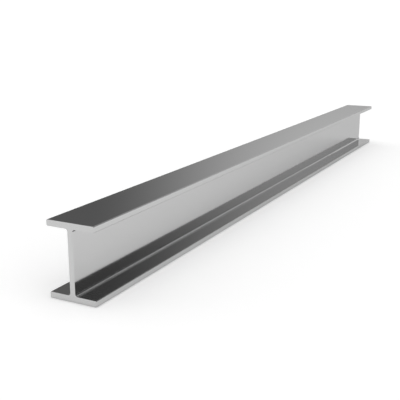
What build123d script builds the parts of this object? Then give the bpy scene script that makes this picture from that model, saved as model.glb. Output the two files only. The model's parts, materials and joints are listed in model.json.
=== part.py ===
"""Steel I-beam: one cut length of parallel-flange section, rolled as a single piece.

The beam lies along X and stands on its lower flange. The origin is on the underside, at mid-length, under the web.
"""

import os

from build123d import *

# Driving dimensions, in millimetres
LENGTH = 2000.0
DEPTH = 155.0
FLANGE_WIDTH = 106.5
FLANGE_THICKNESS = 12.3
WEB_THICKNESS = 11.4
ROOT_RADIUS = 5.5  # hollow where the web runs into a flange
TOE_RADIUS = 1.8  # rounding that the rolls leave on the four flange tips
END_BREAK = 0.25  # sharp edge taken off round each saw-cut end


def off_centre(corner):
    """How far a corner of the section lies from the web's middle line."""
    return abs(corner.X)


def rolled_section():
    """The cross-section that the rolls leave, drawn X across and Y up, and set square to the beam's length."""
    with BuildSketch(Plane.YZ) as section:
        with Locations((0, FLANGE_THICKNESS / 2), (0, DEPTH - FLANGE_THICKNESS / 2)):
            Rectangle(FLANGE_WIDTH, FLANGE_THICKNESS)
        with Locations((0, DEPTH / 2)):
            Rectangle(WEB_THICKNESS, DEPTH - FLANGE_THICKNESS)
        fillet(section.vertices().group_by(off_centre)[0], ROOT_RADIUS)
        fillet(section.vertices().group_by(off_centre)[-1], TOE_RADIUS)
    return section.sketch


def cut_length(section):
    """The section drawn out to its length, with both sawn ends square and free of burrs."""
    beam = extrude(section, amount=LENGTH / 2, both=True)
    ends = beam.faces().sort_by(Axis.X)
    end_edges = ends[0].edges() + ends[-1].edges()
    return chamfer(end_edges, END_BREAK)


def main():
    os.makedirs("parts", exist_ok=True)
    export_step(cut_length(rolled_section()), "parts/i_beam.step")


main()
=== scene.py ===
"""Bright rolled-steel I-beam on a pale studio floor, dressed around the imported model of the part."""

import json
from math import degrees, radians

import bmesh
import bpy
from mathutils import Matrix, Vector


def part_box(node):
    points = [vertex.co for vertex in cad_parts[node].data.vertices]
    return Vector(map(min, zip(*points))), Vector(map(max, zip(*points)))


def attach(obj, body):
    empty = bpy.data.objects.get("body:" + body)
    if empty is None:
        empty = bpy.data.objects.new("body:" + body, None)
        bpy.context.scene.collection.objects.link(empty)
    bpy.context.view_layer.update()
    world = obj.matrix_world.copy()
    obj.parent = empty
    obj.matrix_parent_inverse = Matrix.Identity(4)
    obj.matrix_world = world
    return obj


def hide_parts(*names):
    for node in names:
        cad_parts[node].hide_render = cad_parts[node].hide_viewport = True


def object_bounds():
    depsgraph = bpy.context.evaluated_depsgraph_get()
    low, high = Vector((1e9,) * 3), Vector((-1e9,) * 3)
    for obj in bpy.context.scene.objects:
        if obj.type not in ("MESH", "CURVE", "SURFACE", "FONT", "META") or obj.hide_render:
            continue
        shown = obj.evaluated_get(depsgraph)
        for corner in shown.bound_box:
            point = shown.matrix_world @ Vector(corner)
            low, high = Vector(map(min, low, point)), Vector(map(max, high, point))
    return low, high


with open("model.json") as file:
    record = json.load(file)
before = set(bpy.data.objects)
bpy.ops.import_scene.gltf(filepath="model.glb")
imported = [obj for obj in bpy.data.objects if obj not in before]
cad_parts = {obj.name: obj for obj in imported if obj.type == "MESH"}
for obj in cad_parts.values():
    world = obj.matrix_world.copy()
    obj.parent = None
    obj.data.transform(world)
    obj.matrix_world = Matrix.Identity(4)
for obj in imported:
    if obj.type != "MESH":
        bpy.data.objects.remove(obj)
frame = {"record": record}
cad_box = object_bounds()

# The rolled section, in metres; its length, width, depth and web come from the frame
FLANGE_THICKNESS = 0.0123
ROOT_RADIUS = 0.0055
TOE_RADIUS = 0.0018
END_BREAK = 0.00025

# The facets of each rounding, and the value that makes a bevel a round one
ROOT_FACETS = 14
TOE_FACETS = 5
BREAK_FACETS = 3
ROUND_PROFILE = 0.5

# What counts as the same place, one flat and facing a side, in metres, degrees and the normal's share
SAME_PLACE = 1e-5
SAME_FLAT = 1
FACING = 0.9

# How much the large faces settle the normals along their edges, from 1 to 100, with 50 as neutral
LARGE_FACE_WEIGHT = 100

# The camera, in metres, degrees and millimetres
CAMERA_PLACE = (-1.9514, -0.763, 0.5108)
CAMERA_TILT = 75.35
CAMERA_HEADING = -62.489
LENS = 61.905
SENSOR_WIDTH = 36

# The floor, as brightness, with its size, and the edge in metres round the beam where its glow fades out to
# a painted contact shadow
FLOOR_SIZE = 400
FLOOR_GREY = 0.9
FLOOR_GLOW = 0.25
PAINTED_SHADOW_EDGE = (-0.0045, 0.007)

# The light by direction, as brightness, with its edges in degrees of height or of turn off the beam's line
BACKDROP_WHITE = 1.1
FRONT = {"wall": 0.047, "end_light": 1.07, "edge": (14.4, 37.1)}
BACK = {"wall": 0.157, "end_light": 1.005, "edge": (14.9, 37.5)}
FRONT_TO_BACK = (-0.12, 0.12)  # as the direction's share along Y
WALL_TOP = 0.212
WALL_RISE = (-5, 54)
END_LIGHT_FOOT = 0.323  # as a share of the end light
END_LIGHT_RISE = (0, 14.7)
END_LIGHT_TOP = (10, 57.4)
SIDE_LIGHT = 1.07
SIDE_LIGHT_EDGE = (47, 60)
CEILING_LIGHT = 1.2
CEILING_EDGE = (44, 60)

# The steel's greys at the two ends of its shade, spread wide to hold the painted shade and painted highlight
# in the root hollows; its shade between them, and what each place adds to it
STEEL_DARK = 0.24
STEEL_LIGHT = 0.8
STEEL_EDGE_TINT = 0.7
BARE_SHADE = 0.555
STREAK_SHADE = 0.01
CLOUD_SHADE = 0.01
WORN_SHADE = 0.045
# Painted highlight at each root hollow's foot, and painted shade at its brow
FOOT_PAINTED_HIGHLIGHT = 0.4
BROW_PAINTED_SHADE = -0.55

# How rough the steel is all over, and what each place adds to it
STEEL_ROUGHNESS = 0.1
STREAK_ROUGHNESS = 0.012
CLOUD_ROUGHNESS = 0.01
SAWN_ROUGHNESS = 0.08
WORN_ROUGHNESS = -0.02

# How near to its arris a flange tip is fully worn, and where the wear ends, in metres
WORN_WIDTH = (0.0006, 0.0024)

# Each root hollow's painted shade along its brow on the web side and painted highlight along its foot on the
# flange, as rise off the flange and reach off the web in root radii
BROW_RISE = (0.57, 0.72)
BROW_REACH = (-0.05, 0.25)
FOOT_RISE = (-0.05, 0.08)
FOOT_REACH = (0.6, 1.55)
HOLLOW_SOFT = 0.1

# The grain of each marking, in waves per metre along, across and up the beam, and its relief in metres
STREAKS = {"waves": (0.7, 110, 110), "detail": 4}
CLOUDS = {"waves": (3, 14, 14), "detail": 3}
DRAWN_LINES = {"waves": (5, 800, 800), "detail": 2}
SAW_MARKS = {"waves": (40, 12, 700), "detail": 2}
DRAWN_DEPTH = 4e-7
SAW_DEPTH = 1e-6

# What spreads a noise texture's values out to about -1 to 1
NOISE_MIDDLE = 0.5
NOISE_GAIN = 2.5


class Wire:
    """A shader socket. Sums written with wires add Math nodes, and node() makes any other node."""

    def __init__(self, tree, socket=None):
        self.tree = tree
        self.socket = socket

    def node(self, kind, output, settings, inputs):
        """One new node, its settings first and then its sockets' values or wires; gives the named output."""
        made = self.tree.nodes.new(kind)
        for name, value in settings.items():
            setattr(made, name, value)
        for name, value in inputs.items():
            if isinstance(value, Wire):
                value.feed(made, name)
            else:
                made.inputs[name].default_value = value
        return Wire(self.tree, made.outputs[output])

    def feed(self, node, name):
        """Leads the wire into a named socket of a node."""
        self.tree.links.new(self.socket, node.inputs[name])

    def maths(self, operation, *terms):
        """One Math node on wires and numbers."""
        return self.node("ShaderNodeMath", 0, {"operation": operation}, dict(enumerate(terms)))

    def __add__(self, other):
        return self.maths("ADD", self, other)

    def __radd__(self, other):
        return self.maths("ADD", other, self)

    def __sub__(self, other):
        return self.maths("SUBTRACT", self, other)

    def __rsub__(self, other):
        return self.maths("SUBTRACT", other, self)

    def __mul__(self, other):
        return self.maths("MULTIPLY", self, other)

    def __rmul__(self, other):
        return self.maths("MULTIPLY", other, self)

    def __abs__(self):
        return self.maths("ABSOLUTE", self)

    def smooth(self, start, end):
        """0 up to start and 1 from end on, with an easy slope between them."""
        return self.node(
            "ShaderNodeMapRange",
            "Result",
            {"interpolation_type": "SMOOTHSTEP"},
            {"Value": self, "From Min": start, "From Max": end},
        )

    def band(self, start, end, soft):
        """1 from start to end, easing down to 0 over a soft margin on either side."""
        return self.smooth(start - soft, start) * (1 - self.smooth(end, end + soft))

    def between(self, first, second):
        """The first value where the wire is 0, the second where it is 1, and a blend of them between."""
        return first + (second - first) * self

    def tint(self, dark, light):
        """The grey that is dark where the wire is 0 and light where it is 1, as a colour."""
        # A Mix node has sockets of the same name for each kind of data, so those for colours go by number
        factor, first, second, colour = 0, 6, 7, 2
        return self.node(
            "ShaderNodeMix",
            colour,
            {"data_type": "RGBA"},
            {factor: self, first: grey(dark), second: grey(light)},
        )

    def axes(self):
        """The three parts of a vector."""
        return [self.node("ShaderNodeSeparateXYZ", axis, {}, {"Vector": self}) for axis in "XYZ"]

    def grain(self, waves, detail):
        """Noise from about -1 to 1 over a place, drawn out by its waves per metre along each axis."""
        drawn = self.node("ShaderNodeMapping", "Vector", {}, {"Vector": self, "Scale": waves})
        noise = self.node("ShaderNodeTexNoise", "Fac", {}, {"Vector": drawn, "Scale": 1, "Detail": detail})
        return (noise - NOISE_MIDDLE) * NOISE_GAIN


def grey(brightness):
    """A grey as a colour."""
    return (brightness, brightness, brightness, 1)


def new_material(name):
    """A material to be filled in, with its shader and a wire to start its nodes from."""
    material = bpy.data.materials.new(name)
    material.use_nodes = True
    tree = material.node_tree
    return material, tree.nodes["Principled BSDF"], Wire(tree)


def place_camera():
    """Looks along the beam from in front of its near end, and a little down on it."""
    bpy.ops.object.camera_add(
        location=CAMERA_PLACE, rotation=(radians(CAMERA_TILT), 0, radians(CAMERA_HEADING))
    )
    camera = bpy.context.object
    camera.data.sensor_width = SENSOR_WIDTH
    camera.data.lens = LENS
    bpy.context.scene.camera = camera


def studio_light():
    """Dark walls, a soft light beyond each end of the beam, bright sides and ceiling, a white backdrop."""
    world = bpy.data.worlds.new("studio")
    bpy.context.scene.world = world
    world.use_nodes = True
    background = world.node_tree.nodes["Background"]
    background.inputs["Color"].default_value = grey(1)

    wires = Wire(world.node_tree)
    x, y, z = wires.node("ShaderNodeTexCoord", "Generated", {}, {}).axes()
    height = wires.maths("ARCSINE", z) * degrees(1)
    turn = wires.maths("ARCTAN2", abs(y), abs(x)) * degrees(1)

    rise = height.smooth(*WALL_RISE)
    end_glow = height.smooth(*END_LIGHT_RISE).between(END_LIGHT_FOOT, 1)
    end_glow = end_glow * (1 - height.smooth(*END_LIGHT_TOP))
    halves = []
    for half in (FRONT, BACK):
        wall = rise.between(half["wall"], WALL_TOP)
        beyond_end = (1 - turn.smooth(*half["edge"])) * end_glow
        halves.append(beyond_end.between(wall, half["end_light"]))
    walls = y.smooth(*FRONT_TO_BACK).between(*halves)
    walls = turn.smooth(*SIDE_LIGHT_EDGE).between(walls, SIDE_LIGHT)
    light = height.smooth(*CEILING_EDGE).between(walls, CEILING_LIGHT)
    seen = wires.node("ShaderNodeLightPath", "Is Camera Ray", {}, {})
    seen.between(light, BACKDROP_WHITE).feed(background, "Strength")


def pale_floor():
    """A pale floor that glows softly, with its glow taken away under the beam and close beside it as a
    painted contact shadow.
    """
    bpy.ops.object.select_all(action="DESELECT")
    bpy.ops.mesh.primitive_plane_add(size=FLOOR_SIZE)
    floor = bpy.context.object
    floor.name = "floor"
    material, shader, wires = new_material("pale_floor")
    shader.inputs["Base Color"].default_value = grey(FLOOR_GREY)
    shader.inputs["Roughness"].default_value = 1
    shader.inputs["Specular IOR Level"].default_value = 0
    shader.inputs["Emission Strength"].default_value = 1

    half_length, half_width = cad_box[1][:2]
    x, y = wires.node("ShaderNodeTexCoord", "Object", {}, {}).axes()[:2]
    # Painted contact shadow: the floor's glow fades out close round the beam's footprint
    off_end = (abs(x) - half_length).smooth(*PAINTED_SHADOW_EDGE)
    off_side = (abs(y) - half_width).smooth(*PAINTED_SHADOW_EDGE)
    glow = 1 - (1 - off_end) * (1 - off_side)
    glow.tint(0, FLOOR_GLOW).feed(shader, "Emission Color")
    floor.data.materials.append(material)


def bright_steel(length, width, depth, web):
    """Steel streaked along the rolls, worn on its arrises, with painted shade and a painted highlight in its
    roots, and sawn at the ends.
    """
    material, shader, wires = new_material("bright_rolled_steel")
    shader.inputs["Metallic"].default_value = 1
    shader.inputs["Specular Tint"].default_value = grey(STEEL_EDGE_TINT)

    place = wires.node("ShaderNodeTexCoord", "Object", {}, {})
    x, y, z = place.axes()
    across = abs(y)
    off_middle = abs(z - depth / 2)
    sawn = abs(x).smooth(length / 2 - END_BREAK, length / 2 - END_BREAK / 2)
    rolled = 1 - sawn

    half_flange = FLANGE_THICKNESS / 2
    off_flange = abs(off_middle - (depth / 2 - half_flange))
    full, none = WORN_WIDTH
    tip = across.smooth(width / 2 - none, width / 2 - full)
    worn = tip * off_flange.smooth(half_flange - none, half_flange - full)

    reach = (across - web / 2) * (1 / ROOT_RADIUS)
    rise = (depth / 2 - FLANGE_THICKNESS - off_middle) * (1 / ROOT_RADIUS)
    # Painted shade along the web side of each root hollow, and a painted highlight along its flange side
    painted_shade_brow = rise.band(*BROW_RISE, HOLLOW_SOFT) * reach.band(*BROW_REACH, HOLLOW_SOFT) * rolled
    painted_highlight_foot = rise.band(*FOOT_RISE, HOLLOW_SOFT) * reach.band(*FOOT_REACH, HOLLOW_SOFT) * rolled

    streaks = place.grain(**STREAKS)
    clouds = place.grain(**CLOUDS)
    shade = BARE_SHADE + streaks * STREAK_SHADE + clouds * CLOUD_SHADE
    # The brow's term darkens the colour as painted shade, and the foot's lightens it as a painted highlight
    shade = shade + worn * WORN_SHADE + painted_highlight_foot * FOOT_PAINTED_HIGHLIGHT + painted_shade_brow * BROW_PAINTED_SHADE
    shade.tint(STEEL_DARK, STEEL_LIGHT).feed(shader, "Base Color")

    roughness = STEEL_ROUGHNESS + streaks * STREAK_ROUGHNESS + clouds * CLOUD_ROUGHNESS
    roughness = roughness + sawn * SAWN_ROUGHNESS + worn * WORN_ROUGHNESS
    roughness.feed(shader, "Roughness")

    drawn_relief = place.grain(**DRAWN_LINES) * rolled * DRAWN_DEPTH
    sawn_relief = place.grain(**SAW_MARKS) * sawn * SAW_DEPTH
    relief = {"Height": drawn_relief + sawn_relief, "Distance": 1}
    wires.node("ShaderNodeBump", "Normal", {}, relief).feed(shader, "Normal")
    return material


def mount_place(name):
    """Where the record puts one of the part's mounting faces."""
    for mount in frame["record"]["mounts"]:
        if mount["name"] == name:
            return mount["pos_m"]


def near(a, b):
    """Whether two coordinates are the same place."""
    return abs(a - b) < SAME_PLACE


def runs_along(off_centre):
    """A test for edges that run along the beam at a distance off its middle."""
    return lambda a, b: not near(a.x, b.x) and near(abs(a.y), off_centre)


def lies_across(a, b):
    """A test for edges that lie square across the beam, as those round its ends do."""
    return near(a.x, b.x)


def choose_flange_sides(beam, side, depth):
    """In edit mode, selects the faces on one side of the web that are level with a flange."""
    mesh = bmesh.from_edit_mesh(beam.data)
    for face in mesh.faces:
        level = not FLANGE_THICKNESS < face.calc_center_median().z < depth - FLANGE_THICKNESS
        face.select_set(level and side * face.normal.y > FACING)
    bmesh.update_edit_mesh(beam.data)


def round_edges(beam, test, radius, facets):
    """In edit mode, rounds every edge whose two ends pass the test."""
    bpy.ops.mesh.select_mode(type="EDGE")
    bpy.ops.mesh.select_all(action="DESELECT")
    mesh = bmesh.from_edit_mesh(beam.data)
    for edge in mesh.edges:
        edge.select_set(test(edge.verts[0].co, edge.verts[1].co))
    bmesh.update_edit_mesh(beam.data)
    bpy.ops.mesh.bevel(offset=radius, segments=facets, profile=ROUND_PROFILE, affect="EDGES")


def block_out(length, width, depth, web):
    """The sharp-edged beam, left in edit mode: a web of full depth, with flanges drawn out of its sides."""
    bpy.ops.object.select_all(action="DESELECT")
    bpy.ops.mesh.primitive_cube_add(size=1)
    beam = bpy.context.object
    bpy.ops.object.mode_set(mode="EDIT")
    bpy.ops.transform.resize(value=(length, web, depth), center_override=(0, 0, 0))
    bpy.ops.transform.translate(value=(0, 0, depth / 2))
    for height in (FLANGE_THICKNESS, depth - FLANGE_THICKNESS):
        bpy.ops.mesh.select_all(action="SELECT")
        bpy.ops.mesh.bisect(plane_co=(0, 0, height), plane_no=(0, 0, 1))

    bpy.ops.mesh.select_mode(type="FACE")
    for side in (-1, 1):
        choose_flange_sides(beam, side, depth)
        outward = (0, side * (width - web) / 2, 0)
        bpy.ops.mesh.extrude_region_move(TRANSFORM_OT_translate={"value": outward})
    bpy.ops.mesh.select_all(action="SELECT")
    bpy.ops.mesh.dissolve_limited(angle_limit=radians(SAME_FLAT))
    return beam


def rolled_beam():
    """The whole beam as one mesh, with its roots hollowed, its toes rounded and its sawn ends broken."""
    low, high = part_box("i_beam")
    length, width, depth = high - low
    web = 2 * mount_place("web_face_back")[1]

    beam = block_out(length, width, depth, web)
    beam.name = "rolled_i_beam"
    round_edges(beam, runs_along(web / 2), ROOT_RADIUS, ROOT_FACETS)
    round_edges(beam, runs_along(width / 2), TOE_RADIUS, TOE_FACETS)
    round_edges(beam, lies_across, END_BREAK, BREAK_FACETS)
    bpy.ops.object.mode_set(mode="OBJECT")

    bpy.ops.object.shade_smooth()
    weighted = beam.modifiers.new("flat_faces_stay_flat", "WEIGHTED_NORMAL")
    weighted.weight = LARGE_FACE_WEIGHT
    bpy.ops.object.modifier_apply(modifier=weighted.name)
    beam.data.materials.append(bright_steel(length, width, depth, web))
    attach(beam, "root")
    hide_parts("i_beam")


place_camera()
studio_light()
pale_floor()
rolled_beam()
bpy.context.scene.view_settings.view_transform = "Standard"
